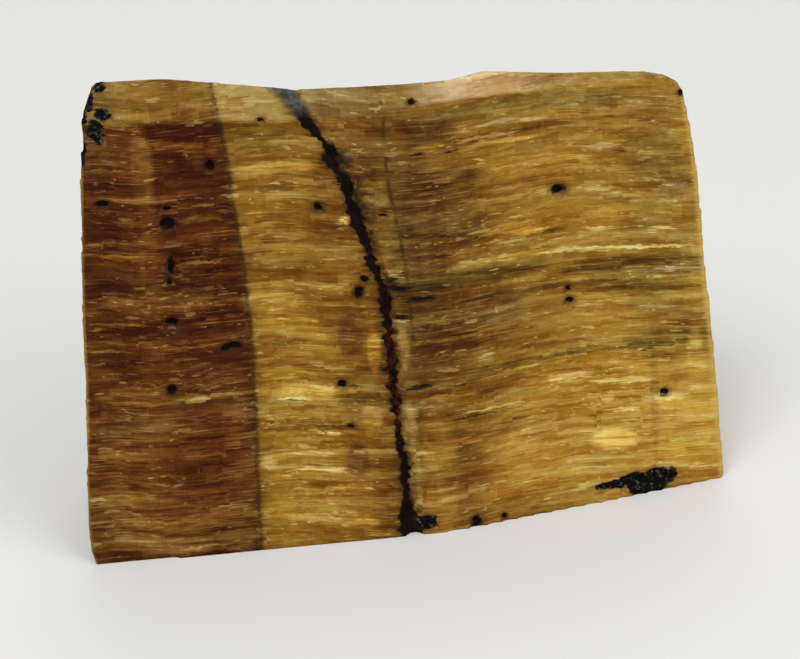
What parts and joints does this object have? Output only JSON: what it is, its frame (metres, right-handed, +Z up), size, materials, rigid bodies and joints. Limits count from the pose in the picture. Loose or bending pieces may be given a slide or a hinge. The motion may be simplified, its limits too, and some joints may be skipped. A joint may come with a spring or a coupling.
{
  "type": "rough tigers eye",
  "caption": "Rough chunk of banded golden-brown tiger's eye standing on a flat base, with a leaning show face, a dark open vein and a splintery fibrous back.",
  "frame": {"origin": "middle of the flat base that the stone stands on", "axes": "+X along the fibres from the brown end to the golden end, -Y out of the show face, +Z up"},
  "size_m": [0.0655, 0.0346, 0.0446],
  "materials": {
    "silky_stone": "silky, fibrous golden-brown stone"
  },
  "bodies": {
    "root": {"rough_tigers_eye": "silky_stone"}
  },
  "joints": []
}
